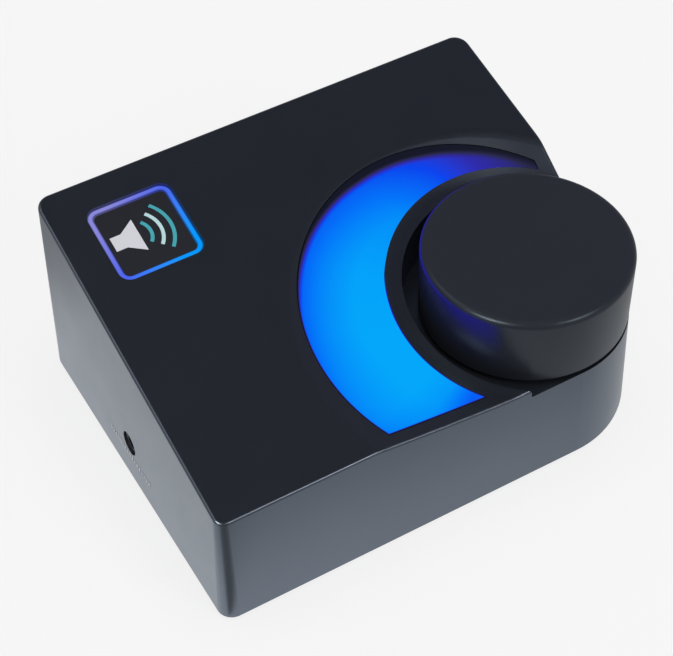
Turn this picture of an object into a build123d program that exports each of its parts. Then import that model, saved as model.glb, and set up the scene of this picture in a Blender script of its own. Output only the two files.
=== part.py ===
from build123d import *
from math import asin, atan, cos, degrees, radians, sin, tan
import os

# Desktop studio monitor controller: a drafted wedge case with one big knob at the front right
# corner, a crescent light beside it in a shallow dish, and the sockets in the rear wall.
# Millimetres. X runs right along the front wall, Y runs back, Z runs up. The origin is the centre
# of the case outline on the surface that the rubber feet stand on.

# ---- driving dimensions: case ----
body_width = 130.0
body_depth = 101.5
front_height = 36.0
back_height = 57.0
foot_stand = 1.2
wall_draft = 2.1
wall = 2.4
roof = 3.0
corner_radius = 6.0
front_left_radius = 4.0
top_edge_radius = 0.8
cover_thickness = 2.2
cover_gap = 0.25

# ---- driving dimensions: knob and its recess ----
knob_radius = 26.7
knob_height = 20.3
knob_gap = 1.0
knob_wall_margin = 0.1
knob_edge_radius = 1.8
knob_skirt = 2.2
knob_cap_top = 3.0
knob_foot_bevel = 0.4
recess_floor_height = 29.7
recess_radius = 30.9

# ---- driving dimensions: dish and crescent lens ----
dish_shift_x = -11.0
dish_shift_y = -4.7
dish_radius = 52.4
deck_radius = 33.4
deck_height = 37.0
deck_tilt = 10.6
dish_overshoot = 0.12
dish_rim_rounding = 6.0
lens_shift_x = -12.7
lens_shift_y = -1.45
lens_outer_radius = 46.4
lens_inner_radius = 35.3
lens_front_margin = 3.4
lens_right_margin = 4.5
lens_thickness = 1.8
lens_ledge = 1.5
lens_gap = 0.2

# ---- driving dimensions: badge light ----
badge_from_left = 23.0
badge_from_back = 22.25
badge_size = 23.0
badge_corner = 3.2
badge_line = 1.55
badge_sink = 1.0
badge_gap = 0.1
badge_flange = 2.0
badge_flange_thickness = 1.5
badge_plate_sink = 0.1
badge_board_drop = 7.0
badge_board_thickness = 1.2
badge_board_width = 36.6
badge_board_back = 11.0
badge_lead_jack_gap = 2.8
badge_screw_spread = 16.2
badge_boss_radius = 2.3
badge_led_spread = 8.5
badge_lead_width = 6.0
badge_lead_thickness = 0.8
badge_lead_inset = 2.0

# ---- driving dimensions: feet and screws ----
foot_radius = 6.0
foot_pocket = 0.8
foot_margin_side = 17.0
foot_margin_end = 18.75
foot_edge_radius = 0.4
case_boss_radius = 3.6
case_screw_radius = 1.5
case_screw_length = 12.0
case_screw_head = 2.8
case_screw_countersink = 1.4
case_boss_top = 22.0
case_screw_margin = 6.4
corner_screw_shift = 3.0
small_screw_radius = 1.25
small_screw_head = 2.3
small_screw_head_height = 1.5
small_screw_reach = 5.0
screw_gap = 0.05
screw_slot_width = 0.7
screw_slot_depth = 0.7

# ---- driving dimensions: boards ----
board_thickness = 1.6
main_board_height = 8.8
main_board_side_gap = 1.0
main_board_depth = 57.35
main_board_rear_gap = 0.4
main_board_tongue_depth = 26.0
board_side_gap = 0.8
standoff_radius = 3.0
control_board_to_left = 61.0
control_board_jack_gap = 3.8
control_boss_spread_x = 15.5
control_boss_spread_y = 15.0
control_boss_radius = 3.0

# ---- driving dimensions: rear panel and sockets ----
panel_side_margin = 8.0
panel_low = 4.8
panel_high = 32.2
panel_thickness = 2.0
panel_sink = 3.0
panel_gap = 0.15
panel_ledge = 3.0
panel_end_ledge = 7.0
panel_frame_thickness = 2.2
panel_frame_margin = 2.0
panel_corner = 2.0
panel_boss_radius = 3.0
panel_boss_length = 6.0
line_jack_count = 4
line_jack_end_room = 17.0
button_end_room = 13.0
button_pitch_share = 0.667
line_jack_axis_height = 10.6
line_jack_width = 15.0
line_jack_half_height = 7.2
line_jack_depth = 31.0
line_jack_nose_radius = 5.6
line_jack_bore_radius = 3.25
line_jack_bore_depth = 32.0
line_jack_nose_length = 4.6
jack_hole_gap = 0.2
jack_nut_radius = 7.4
jack_nut_thickness = 2.2
power_width = 8.9
power_height = 3.2
power_depth = 8.4
power_shell_wall = 0.3
power_tongue_width = 6.6
power_tongue_height = 0.7
power_tongue_depth = 5.6
button_axis_height = 3.6
button_radius = 2.4
button_hole_gap = 0.25
button_stand = 1.4
button_flange_radius = 3.1
button_flange_thickness = 0.7
button_panel_gap = 0.3
button_travel = 0.6
switch_width = 6.4
switch_height = 7.0
switch_depth = 4.6
switch_plunger_radius = 1.7
switch_plunger_stand = 1.4
switch_plunger_root = 1.2
switch_gap = 0.2

# ---- driving dimensions: side jack ----
side_jack_from_board_front = 12.2
side_jack_axis_height = 2.9
side_jack_width = 6.4
side_jack_depth = 14.0
side_jack_wall_gap = 0.3
side_jack_nose_radius = 3.05
side_jack_nose_sink = 0.6
side_jack_bore_radius = 1.8
side_jack_bore_depth = 14.0
side_jack_hole_radius = 3.35

# ---- driving dimensions: encoder ----
encoder_width = 13.0
encoder_case_height = 6.5
encoder_case_wall = 1.0
encoder_bush_radius = 4.5
encoder_bush_flange_radius = 5.4
encoder_bush_flange_thickness = 0.8
encoder_bush_stand = 6.0
encoder_shaft_radius = 3.0
encoder_running_gap = 0.05
encoder_flat = 1.5
encoder_flat_length = 10.0
encoder_rotor_radius = 4.8
encoder_rotor_thickness = 1.6
encoder_rotor_gap = 0.4
encoder_washer_radius = 6.2
encoder_washer_thickness = 0.6
encoder_nut_radius = 6.0
encoder_nut_thickness = 2.0
insert_hub_radius = 6.5
insert_disc_thickness = 2.4
insert_rib_count = 6
insert_rib_width = 1.6
insert_rib_height = 6.0
insert_gap = 0.05
insert_bush_gap = 1.0
shaft_grip_gap = 0.03
shaft_end_gap = 0.5

# ---- driving dimensions: small parts on the boards ----
led_width = 3.5
led_depth = 2.8
led_height = 1.9
led_arc_radius = 42.0
led_back_margin = 5.2
led_last_angle = 204.0
led_count = 7
light_box_wall = 1.2
light_box_overlap = 0.6
light_box_gap = 0.15
light_box_shelf_height = 30.0
module_x = -14.0
module_from_board_front = 11.0
module_width = 16.0
module_depth = 20.0
module_thickness = 0.8
shield_margin = 1.6
shield_width = 13.0
shield_depth = 13.0
shield_height = 2.0
chip_height = 1.6
chip_x = (-28.0, 2.0, 14.0, 14.0)
chip_from_board_front = (9.0, 14.0, 7.0, 17.0)
chip_widths = (5.0, 7.0, 5.0, 5.0)
chip_depths = (6.0, 7.0, 6.0, 6.0)
capacitor_radius = 3.2
capacitor_height = 7.4
capacitor_shift_x = -5.0
capacitor_from_board_front = 25.0
capacitor_pitch = 8.0
capacitor_columns = 2
capacitor_rows = 3
link_header_shift_x = -4.0
link_header_from_board_front = 4.0
link_header_width = 14.0
link_header_depth = 5.0
lead_header_depth = 4.0
lead_header_height = 4.0
lead_header_margin = 1.0
board_screw_margin = 4.0
board_screw_left_margin = 6.0
board_screw_rear_margin = 15.35

# ---- places worked out from the driving dimensions ----
reach = 200.0
edge_shares = (0.1, 0.5, 0.9)
edge_tolerance = 0.001
upright_share = 0.8
draft = tan(radians(wall_draft))
rim = foot_stand
cover_top = rim + cover_thickness
top_slope = (back_height - front_height) / (body_depth - (front_height + back_height) * draft)
top_tilt = degrees(atan(top_slope))
front_top_y = front_height * draft - body_depth / 2
recess_floor = rim + recess_floor_height
recess_underside = recess_floor - roof
knob_margin = knob_radius + knob_wall_margin + recess_floor_height * draft
knob_x = body_width / 2 - knob_margin
knob_y = knob_margin - body_depth / 2
knob_bottom = recess_floor + knob_gap
knob_top = knob_bottom + knob_height
main_board_low = rim + main_board_height
main_board_top = main_board_low + board_thickness
control_board_top = recess_underside - encoder_case_height
control_board_low = control_board_top - board_thickness
panel_half_width = body_width / 2 - panel_side_margin
panel_back = body_depth / 2 - panel_sink
panel_front = panel_back - panel_thickness
main_board_half_width = panel_half_width - panel_end_ledge - main_board_side_gap
main_board_rear = panel_front - main_board_rear_gap
main_board_front = main_board_rear - main_board_depth
control_board_left = knob_x - control_board_to_left
line_jack_front = panel_front - line_jack_depth
control_board_back = line_jack_front - control_board_jack_gap
row_width = 2 * panel_half_width - line_jack_end_room - button_end_room
socket_pitch = row_width / (line_jack_count + button_pitch_share)
line_jack_x = [
    line_jack_end_room - panel_half_width + socket_pitch * number for number in range(line_jack_count)
]
power_x = line_jack_x[-1] + socket_pitch
button_x = panel_half_width - button_end_room
side_jack_y = main_board_front + side_jack_from_board_front
badge_x = badge_from_left - body_width / 2
badge_y = body_depth / 2 - badge_from_back
badge_along = badge_y / cos(radians(top_tilt))
line_jack_z = main_board_top + line_jack_axis_height
button_z = main_board_top + button_axis_height
side_jack_z = main_board_top + side_jack_axis_height
case_screw_side = body_width / 2 - case_screw_margin
case_screw_end = body_depth / 2 - case_screw_margin
corner_screw_x = knob_x + corner_screw_shift
dish_x = knob_x + dish_shift_x
dish_y = knob_y + dish_shift_y
lens_x = knob_x + lens_shift_x
lens_y = knob_y + lens_shift_y
lens_front = lens_front_margin + front_height * draft - body_depth / 2
lens_right = body_width / 2 - front_height * draft - lens_right_margin


def top_height(y):
    """Height of the sloped top above the standing surface, at depth y."""
    return rim + front_height + (y - front_top_y) * top_slope


def wall_inset(z):
    """How far the drafted wall has leaned in at height z."""
    return (z - rim) * draft


def block(x_low, x_high, y_low, y_high, z_low, z_high):
    """A box between two corners."""
    size = (x_high - x_low, y_high - y_low, z_high - z_low)
    centre = ((x_low + x_high) / 2, (y_low + y_high) / 2, (z_low + z_high) / 2)
    return Pos(*centre) * Box(*size)


def post(x, y, z_low, z_high, radius):
    """An upright cylinder."""
    height = z_high - z_low
    return Pos(x, y, z_low + height / 2) * Cylinder(radius, height)


def rod_y(x, z, y_low, y_high, radius):
    """A cylinder lying along Y."""
    length = y_high - y_low
    return Pos(x, y_low + length / 2, z) * Rot(90, 0, 0) * Cylinder(radius, length)


def rod_x(y, z, x_low, x_high, radius):
    """A cylinder lying along X."""
    length = x_high - x_low
    return Pos(x_low + length / 2, y, z) * Rot(0, 90, 0) * Cylinder(radius, length)


def group(solids):
    """Separate solids kept together in one node."""
    return Compound(children=list(solids))


def case_outline(inset):
    """Plan outline of the case, moved in by inset; its front right corner follows the knob."""
    half_x = body_width / 2 - inset
    half_y = body_depth / 2 - inset
    corners = [(-half_x, -half_y), (half_x, -half_y), (half_x, half_y), (-half_x, half_y)]
    small = max(corner_radius - inset, 1.0)
    smaller = max(front_left_radius - inset, 1.0)
    radii = [smaller, knob_margin - inset, small, small]
    return make_face(FilletPolyline(*corners, radius=radii, close=True))


def tapered_block(inset, z_low, z_high):
    """The case outline moved in by inset at the rim and drawn up with the wall's draft."""
    outline = case_outline(inset + wall_inset(z_low))
    return extrude(Pos(0, 0, z_low) * outline, amount=z_high - z_low, taper=wall_draft)


def tilted_plane(y, z, tilt):
    """A plane through (0, y, z) whose back edge is raised by tilt degrees."""
    normal = (0, -sin(radians(tilt)), cos(radians(tilt)))
    return Plane(origin=(0, y, z), x_dir=(1, 0, 0), z_dir=normal)


top_plane = tilted_plane(0, top_height(0), top_tilt)


def dish_cutter():
    """The space of the dish: a slanting cone from the rim circle down to the knob's deck."""
    deck_depth = top_height(knob_y) - (rim + deck_height)
    sections = []
    for share in (-dish_overshoot, 1.0):
        centre_x = dish_x + share * (knob_x - dish_x)
        centre_y = dish_y + share * (knob_y - dish_y)
        centre_z = top_height(centre_y) - share * deck_depth
        radius = dish_radius + share * (deck_radius - dish_radius)
        frame = tilted_plane(centre_y, centre_z, top_tilt + share * (deck_tilt - top_tilt))
        sections.append(frame * Pos(centre_x, 0, 0) * Circle(radius))
    return loft(sections, ruled=True)


def recess_space(radius, floor):
    """The round space that the knob stands in, open at the top."""
    return post(knob_x, knob_y, floor, floor + reach, radius)


def case_form():
    """The outside of the case as one full solid with sharp edges."""
    form = tapered_block(0, rim, rim + back_height + corner_radius)
    form = split(form, bisect_by=top_plane, keep=Keep.BOTTOM)
    return form - dish_cutter() - recess_space(recess_radius, recess_floor)


def wall_distance(point):
    """How far a point on the case lies inside the nearest straight wall."""
    off_side = body_width / 2 - abs(point.X)
    off_end = body_depth / 2 - abs(point.Y)
    return min(off_side, off_end) - wall_inset(point.Z)


def rounded_case_form():
    """The outside of the case with its dish rim and its upper edges rounded."""
    form = case_form()
    rims = [edge for edge in form.edges() if is_dish_rim(edge)]
    form = fillet(rims, dish_rim_rounding)
    upper = [edge for edge in form.edges() if is_upper_edge(edge)]
    return fillet(upper, top_edge_radius)


def is_dish_rim(edge):
    """Tells the curved edge between the sloped top and the dish."""
    points = [edge.position_at(share) for share in edge_shares]
    on_top = all(abs(point.Z - top_height(point.Y)) < edge_tolerance for point in points)
    return on_top and edge.geom_type not in (GeomType.LINE, GeomType.ELLIPSE)


def is_upper_edge(edge):
    """Tells the edges where the top, the dish and the deck meet the walls."""
    points = [edge.position_at(share) for share in edge_shares]
    high = all(point.Z > recess_floor + 2 * top_edge_radius for point in points)
    near_wall = all(wall_distance(point) < corner_radius / 2 for point in points)
    upright = abs(edge.tangent_at(0.5).Z) > upright_share
    return high and near_wall and not upright


def crescent(outset, z_low, z_high):
    """Upright prism of the crescent lens, grown all round by outset."""
    outline = Pos(lens_x, lens_y) * Circle(lens_outer_radius + outset)
    outline -= Pos(knob_x, knob_y) * Circle(lens_inner_radius - outset)
    right = lens_right + outset
    front = lens_front - outset
    keep = Pos(right - reach / 2, front + reach / 2) * Rectangle(reach, reach)
    outline = outline & keep
    return extrude(Pos(0, 0, z_low) * outline, amount=z_high - z_low)


plain_form = case_form()


def lowered_form(depth):
    """The case form moved down, whose top stands at that depth under the real one."""
    return Pos(0, 0, -depth) * plain_form


def badge_square(size, corner, depth_high, depth_low):
    """Rounded square block at the badge, between two depths under the sloped top."""
    outline = Pos(badge_x, badge_along) * RectangleRounded(size, size, corner)
    base = top_plane * Pos(0, 0, -depth_low) * outline
    return extrude(base, amount=depth_low - depth_high, dir=top_plane.z_dir)


def badge_frame_place(x, y, depth):
    """A place given along the sloped top, from the badge's centre."""
    return top_plane * Pos(badge_x + x, badge_along + y, -depth)


case_screw_places = (
    (-case_screw_side, -case_screw_end),
    (-case_screw_side, case_screw_end),
    (case_screw_side, case_screw_end),
    (corner_screw_x, -case_screw_end),
)
board_screw_places = (
    (board_screw_left_margin - main_board_half_width, main_board_front + board_screw_margin),
    (main_board_half_width - board_screw_margin, main_board_front + board_screw_margin),
    (main_board_half_width - board_screw_margin, main_board_rear - board_screw_rear_margin),
)
control_screw_places = [
    (knob_x + side * control_boss_spread_x, knob_y + end * control_boss_spread_y)
    for side in (-1, 1)
    for end in (-1, 1)
]
panel_screw_x = panel_half_width - panel_end_ledge / 2
panel_screw_z = rim + (panel_low + panel_high) / 2
roof_depth = roof * cos(radians(top_tilt))
badge_board_depth = roof_depth + badge_flange_thickness + badge_board_drop
badge_lead_y = line_jack_front - badge_lead_jack_gap
badge_lead_along = badge_lead_y - (badge_board_depth + badge_board_thickness) * sin(radians(top_tilt))
badge_lead_along = badge_lead_along / cos(radians(top_tilt))
badge_board_front = badge_along - badge_lead_along + badge_lead_inset


def top_housing():
    """Wedge shell with its bosses, rear rebate, lens pocket and openings."""
    shell = rounded_case_form()
    cavity = tapered_block(wall, rim, rim + back_height) & lowered_form(roof)
    cavity = cavity - recess_space(recess_radius + wall, recess_underside)
    shell = shell - cavity
    inside = lowered_form(roof / 2)
    bosses = [
        post(x, y, cover_top, case_boss_top, case_boss_radius) & inside for x, y in case_screw_places
    ]
    bosses += [
        post(x, y, control_board_top, recess_underside + roof / 2, control_boss_radius)
        for x, y in control_screw_places
    ]
    frame = block(
        -panel_half_width - panel_frame_margin,
        panel_half_width + panel_frame_margin,
        panel_front - panel_frame_thickness,
        body_depth / 2,
        rim + panel_low - panel_frame_margin + 1,
        rim + panel_high + panel_frame_margin,
    )
    bosses.append(frame & inside)
    for side in (-1, 1):
        bosses.append(
            rod_y(
                side * panel_screw_x,
                panel_screw_z,
                panel_front - panel_boss_length,
                panel_front,
                panel_boss_radius,
            )
        )
        bosses.append(
            extrude(
                badge_frame_place(side * badge_screw_spread, 0, badge_board_depth)
                * Circle(badge_boss_radius),
                amount=badge_board_depth - roof_depth / 2,
            )
        )
    for boss in bosses:
        shell = shell + boss
    shell = shell - panel_rebate() - panel_window()
    shell = shell - (crescent(lens_gap, rim, reach) - lowered_form(lens_thickness))
    shell = shell - crescent(-lens_ledge, recess_underside - roof, reach)
    shell = shell - badge_square(badge_size + 2 * badge_gap, badge_corner + badge_gap, -roof, 2 * roof)
    shell = shell - rod_x(
        side_jack_y, side_jack_z, -body_width / 2 - wall, -body_width / 2 + 2 * wall, side_jack_hole_radius
    )
    shell = shell - post(
        knob_x, knob_y, recess_underside - 1, recess_floor + 1, encoder_bush_radius + screw_gap
    )
    for x, y in case_screw_places:
        top = cover_top + case_screw_length
        shell = shell - post(x, y, rim, top, case_screw_radius + screw_gap)
    for x, y in control_screw_places:
        top = control_board_low + small_screw_reach + board_thickness
        shell = shell - post(x, y, rim, top, small_screw_radius + screw_gap)
    for side in (-1, 1):
        shell = shell - rod_y(
            side * panel_screw_x,
            panel_screw_z,
            panel_front - small_screw_reach,
            panel_back,
            small_screw_radius + screw_gap,
        )
        shell = shell - extrude(
            badge_frame_place(side * badge_screw_spread, 0, badge_board_depth)
            * Circle(small_screw_radius + screw_gap),
            amount=small_screw_reach,
        )
    return shell


def panel_rebate():
    """Outer step of the rear wall that the rear panel drops into."""
    grown = panel_half_width + panel_gap
    outline = RectangleRounded(
        2 * grown, panel_high - panel_low + 2 * panel_gap, panel_corner + panel_gap
    )
    face = Plane(origin=(0, panel_front, panel_screw_z), x_dir=(1, 0, 0), z_dir=(0, 1, 0)) * outline
    return extrude(face, amount=body_depth)


def panel_window():
    """Opening behind the rear panel that the sockets pass through."""
    half = panel_half_width - panel_end_ledge
    low = rim + panel_low + panel_ledge
    high = rim + panel_high - panel_ledge
    return block(-half, half, 0.6 * panel_front, body_depth, low, high) & block(
        -half, half, panel_front - 2 * panel_frame_thickness, body_depth, low, high
    )


def bottom_cover():
    """Flat cover with standoffs, foot pockets and countersunk screw holes."""
    cover = extrude(Pos(0, 0, rim) * case_outline(wall + cover_gap), amount=cover_thickness)
    for x, y in board_screw_places:
        cover = cover + post(x, y, cover_top - 1, main_board_low, standoff_radius)
    for x, y in board_screw_places:
        low = main_board_top - small_screw_reach - board_thickness
        cover = cover - post(x, y, low, main_board_top, small_screw_radius + screw_gap)
    for x, y in case_screw_places:
        cover = cover - post(x, y, rim - 1, cover_top + 1, case_screw_radius + screw_gap)
        sink = Cone(case_screw_head + screw_gap, case_screw_radius + screw_gap, case_screw_countersink)
        cover = cover - Pos(x, y, rim + case_screw_countersink / 2) * sink
    for x, y in foot_places():
        cover = cover - post(x, y, rim - 1, rim + foot_pocket, foot_radius + screw_gap)
    return cover


def foot_places():
    """The four plan positions of the feet."""
    spread_x = body_width / 2 - foot_margin_side
    spread_y = body_depth / 2 - foot_margin_end
    return [(side * spread_x, end * spread_y) for side in (-1, 1) for end in (-1, 1)]


def rubber_feet():
    """Four round feet in their pockets."""
    feet = []
    for x, y in foot_places():
        foot = post(x, y, 0, rim + foot_pocket, foot_radius)
        foot = fillet(foot.edges().sort_by(Axis.Z)[0], foot_edge_radius)
        feet.append(foot)
    return group(feet)


def case_screws():
    """Countersunk screws that hold the cover to the housing."""
    screws = []
    for x, y in case_screw_places:
        head = Cone(case_screw_head, case_screw_radius, case_screw_countersink)
        screw = Pos(x, y, rim + case_screw_countersink / 2) * head
        screw = screw + post(x, y, rim + case_screw_countersink / 2, rim + case_screw_length, case_screw_radius)
        for turn in (0, 90):
            slot = Pos(x, y, rim) * Rot(0, 0, turn) * Box(case_screw_head, screw_slot_width, 2 * screw_slot_depth)
            screw = screw - slot
        screws.append(screw)
    return group(screws)


def pan_screw(reach_below):
    """Pan head screw whose head sits on the plane z = 0 and points up, with a cross slot."""
    head = Pos(0, 0, small_screw_head_height / 2) * Cylinder(small_screw_head, small_screw_head_height)
    head = fillet(head.edges().sort_by(Axis.Z)[-1], small_screw_head_height * 0.4)
    screw = head + post(0, 0, -reach_below, small_screw_head_height / 2, small_screw_radius)
    for turn in (0, 90):
        slot = Rot(0, 0, turn) * Box(small_screw_head, screw_slot_width, 2 * screw_slot_depth)
        screw = screw - Pos(0, 0, small_screw_head_height) * slot
    return screw


def board_screws():
    """Screws of the main board, heads up."""
    screw = pan_screw(small_screw_reach)
    return group(Pos(x, y, main_board_top) * screw for x, y in board_screw_places)


def control_board_screws():
    """Screws of the control board, heads down."""
    screw = Rot(180, 0, 0) * pan_screw(small_screw_reach)
    return group(Pos(x, y, control_board_low) * screw for x, y in control_screw_places)


def panel_screws():
    """Screws at both ends of the rear panel."""
    screw = Rot(-90, 0, 0) * pan_screw(small_screw_reach)
    return group(Pos(side * panel_screw_x, panel_back, panel_screw_z) * screw for side in (-1, 1))


def badge_board_screws():
    """Screws of the badge light board, heads down."""
    screw = Rot(180, 0, 0) * pan_screw(small_screw_reach)
    depth = badge_board_depth + badge_board_thickness
    return group(badge_frame_place(side * badge_screw_spread, 0, depth) * screw for side in (-1, 1))


def rear_panel():
    """Flat socket panel."""
    outline = RectangleRounded(2 * panel_half_width, panel_high - panel_low, panel_corner)
    face = Plane(origin=(0, panel_front, panel_screw_z), x_dir=(1, 0, 0), z_dir=(0, 1, 0)) * outline
    panel = extrude(face, amount=panel_thickness)
    for x in line_jack_x:
        panel = panel - rod_y(x, line_jack_z, 0, body_depth, line_jack_nose_radius + jack_hole_gap)
    panel = panel - rod_y(button_x, button_z, 0, body_depth, button_radius + button_hole_gap)
    for side in (-1, 1):
        panel = panel - rod_y(
            side * panel_screw_x, panel_screw_z, 0, body_depth, small_screw_radius + jack_hole_gap
        )
    return panel - power_outline(jack_hole_gap, 0, body_depth)


def power_outline(outset, y_low, y_high):
    """Rounded bar of the power inlet, grown by outset."""
    height = power_height + 2 * outset
    outline = RectangleRounded(power_width + 2 * outset, height, height * 0.49)
    centre_z = main_board_top + power_height / 2
    face = Plane(origin=(power_x, y_low, centre_z), x_dir=(1, 0, 0), z_dir=(0, 1, 0)) * outline
    return extrude(face, amount=y_high - y_low)


def power_inlet_shell():
    """Steel shell of the power inlet."""
    front = panel_back - power_depth
    shell = power_outline(0, front, panel_back)
    return shell - power_outline(-power_shell_wall, front + power_shell_wall, body_depth)


def power_inlet_tongue():
    """Contact tongue inside the power inlet."""
    centre_z = main_board_top + power_height / 2
    root = panel_back - power_depth + power_shell_wall
    return block(
        power_x - power_tongue_width / 2,
        power_x + power_tongue_width / 2,
        root,
        root + power_tongue_depth,
        centre_z - power_tongue_height / 2,
        centre_z + power_tongue_height / 2,
    )


def line_jack(x):
    """Quarter inch socket: body on the board, threaded nose through the panel, bore."""
    half = line_jack_width / 2
    body = block(
        x - half,
        x + half,
        line_jack_front,
        panel_front,
        main_board_top,
        line_jack_z + line_jack_half_height,
    )
    tip = panel_front + line_jack_nose_length
    jack = body + rod_y(x, line_jack_z, panel_front - 1, tip, line_jack_nose_radius)
    return jack - rod_y(x, line_jack_z, tip - line_jack_bore_depth, body_depth, line_jack_bore_radius)


def jack_nuts():
    """Hexagon nuts on the socket noses."""
    nuts = []
    for x in line_jack_x:
        face = Plane(origin=(x, panel_back, line_jack_z), x_dir=(1, 0, 0), z_dir=(0, 1, 0))
        nut = extrude(face * RegularPolygon(jack_nut_radius, 6), amount=jack_nut_thickness)
        round_form = rod_y(x, line_jack_z, panel_back, body_depth, jack_nut_radius * 0.97)
        nut = nut & round_form
        nuts.append(nut - rod_y(x, line_jack_z, 0, body_depth, line_jack_nose_radius + screw_gap))
    return group(nuts)


flange_back = panel_front - button_panel_gap
flange_front = flange_back - button_flange_thickness
switch_back = flange_front - switch_plunger_stand
switch_front = switch_back - switch_depth


def pair_button():
    """Round push button with the flange that keeps it behind the panel."""
    cap = rod_y(button_x, button_z, flange_back, panel_back + button_stand, button_radius)
    cap = fillet(cap.edges().sort_by(Axis.Y)[-1], button_radius * 0.2)
    return cap + rod_y(button_x, button_z, flange_front, flange_back, button_flange_radius)


def pair_switch_plunger():
    """Plunger of the switch, which the button leans on."""
    return rod_y(
        button_x, button_z, switch_back - switch_plunger_root, flange_front, switch_plunger_radius
    )


def pair_switch_case():
    """Case of the switch, hollow where the plunger travels."""
    half = switch_width / 2
    case = block(
        button_x - half,
        button_x + half,
        switch_front,
        switch_back,
        main_board_top,
        main_board_top + switch_height,
    )
    well = switch_back - switch_plunger_root - button_travel - button_panel_gap
    return case - rod_y(button_x, button_z, well, body_depth, switch_plunger_radius + switch_gap)


def main_board():
    """Main circuit board with the tongue that carries the side jack."""
    board = block(
        -main_board_half_width,
        main_board_half_width,
        main_board_front,
        main_board_rear,
        main_board_low,
        main_board_top,
    )
    left = -(body_width / 2 - wall - wall_inset(main_board_top) - board_side_gap)
    tongue = block(
        left,
        0,
        main_board_front,
        main_board_front + main_board_tongue_depth,
        main_board_low,
        main_board_top,
    )
    board = board + tongue
    for x, y in board_screw_places:
        board = board - post(x, y, rim, reach, small_screw_radius + screw_gap)
    return board


def side_jack():
    """Mini jack socket behind the left wall."""
    wall_inner = -(body_width / 2 - wall_inset(side_jack_z) - wall)
    front = wall_inner + side_jack_wall_gap
    half = side_jack_width / 2
    body = block(
        front,
        front + side_jack_depth,
        side_jack_y - half,
        side_jack_y + half,
        main_board_top,
        side_jack_z + side_jack_axis_height,
    )
    tip = side_jack_tip()
    jack = body + rod_x(side_jack_y, side_jack_z, tip, front, side_jack_nose_radius)
    return jack - rod_x(
        side_jack_y, side_jack_z, -body_width, tip + side_jack_bore_depth, side_jack_bore_radius
    )


def side_jack_tip():
    """Where the side jack's nose ends, a little inside the outer wall."""
    return -(body_width / 2 - wall_inset(side_jack_z)) + side_jack_nose_sink


def wireless_module():
    """Small radio board that lies on the main board."""
    middle = main_board_front + module_from_board_front
    return block(
        module_x - module_width / 2,
        module_x + module_width / 2,
        middle - module_depth / 2,
        middle + module_depth / 2,
        main_board_top,
        main_board_top + module_thickness,
    )


def wireless_shield():
    """Shield can over the radio chip."""
    low = main_board_top + module_thickness
    front = main_board_front + module_from_board_front - module_depth / 2 + shield_margin
    can = block(
        module_x - shield_width / 2,
        module_x + shield_width / 2,
        front,
        front + shield_depth,
        low,
        low + shield_height,
    )
    return chamfer(can.edges().group_by(Axis.Z)[-1], shield_height * 0.15)


def main_board_chips():
    """Flat chips of the main board."""
    top = main_board_top + chip_height
    chips = []
    for x, from_front, width, depth in zip(chip_x, chip_from_board_front, chip_widths, chip_depths):
        y = main_board_front + from_front
        low, high = y - depth / 2, y + depth / 2
        chips.append(block(x - width / 2, x + width / 2, low, high, main_board_top, top))
    return group(chips)


def capacitors():
    """Upright capacitors in a grid."""
    cans = []
    for column in range(capacitor_columns):
        for row in range(capacitor_rows):
            x = power_x + capacitor_shift_x + column * capacitor_pitch
            y = main_board_front + capacitor_from_board_front + row * capacitor_pitch
            can = post(x, y, main_board_top, main_board_top + capacitor_height, capacitor_radius)
            cans.append(chamfer(can.edges().sort_by(Axis.Z)[-1], capacitor_radius * 0.1))
    return group(cans)


def board_link_header():
    """Pin header that joins the main board and the control board."""
    x = knob_x + link_header_shift_x
    y = main_board_front + link_header_from_board_front
    return block(
        x - link_header_width / 2,
        x + link_header_width / 2,
        y - link_header_depth / 2,
        y + link_header_depth / 2,
        main_board_top,
        control_board_low,
    )


def control_board():
    """Board under the recess and the dish, with its corner cut round the case boss."""
    inset = wall + wall_inset(control_board_top) + board_side_gap
    full = case_outline(inset)
    keep_x = control_board_left + reach / 2
    keep_y = control_board_back - reach / 2
    outline = full & (Pos(keep_x, keep_y) * Rectangle(reach, reach))
    board = extrude(Pos(0, 0, control_board_low) * outline, amount=board_thickness)
    notch = case_boss_radius + board_side_gap
    board = board - post(corner_screw_x, -case_screw_end, rim, reach, notch)
    board = board - block(
        corner_screw_x - notch, corner_screw_x + notch, -body_depth, -case_screw_end, rim, reach
    )
    for x, y in control_screw_places:
        board = board - post(x, y, rim, reach, small_screw_radius + screw_gap)
    return board


def led_block(width, depth, height):
    """Surface mounted light with a shallow lens recess."""
    body = Pos(0, 0, height / 2) * Box(width, depth, height)
    return body - Pos(0, 0, height) * Cylinder(depth * 0.38, height * 0.3)


def crescent_leds():
    """Lights under the crescent, along an arc round the knob."""
    first_rise = (control_board_back - led_back_margin - knob_y) / led_arc_radius
    led_first_angle = 180 - degrees(asin(first_rise))
    step = (led_last_angle - led_first_angle) / (led_count - 1)
    lights = []
    for number in range(led_count):
        angle = led_first_angle + step * number
        x = knob_x + led_arc_radius * cos(radians(angle))
        y = knob_y + led_arc_radius * sin(radians(angle))
        light = Pos(x, y, control_board_top) * Rot(0, 0, angle) * led_block(led_width, led_depth, led_height)
        lights.append(light)
    return group(lights)


def light_box():
    """White walls that lead the light of the control board up to the lens."""
    low = control_board_top + light_box_gap
    shelf = rim + light_box_shelf_height
    outer = crescent(light_box_wall - light_box_overlap, low, reach)
    outer = outer - block(-reach, reach, control_board_back, reach, 0, shelf)
    inner = crescent(-light_box_overlap, 0, reach)
    bridge = control_board_back - light_box_wall
    inner = inner - block(-reach, reach, bridge, reach, -1, shelf + light_box_wall)
    return (outer & lowered_form(roof + light_box_gap)) - inner


def crescent_lens():
    """Milky lens that follows the dish."""
    return (crescent(0, rim, reach) & plain_form) - lowered_form(lens_thickness)


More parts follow.
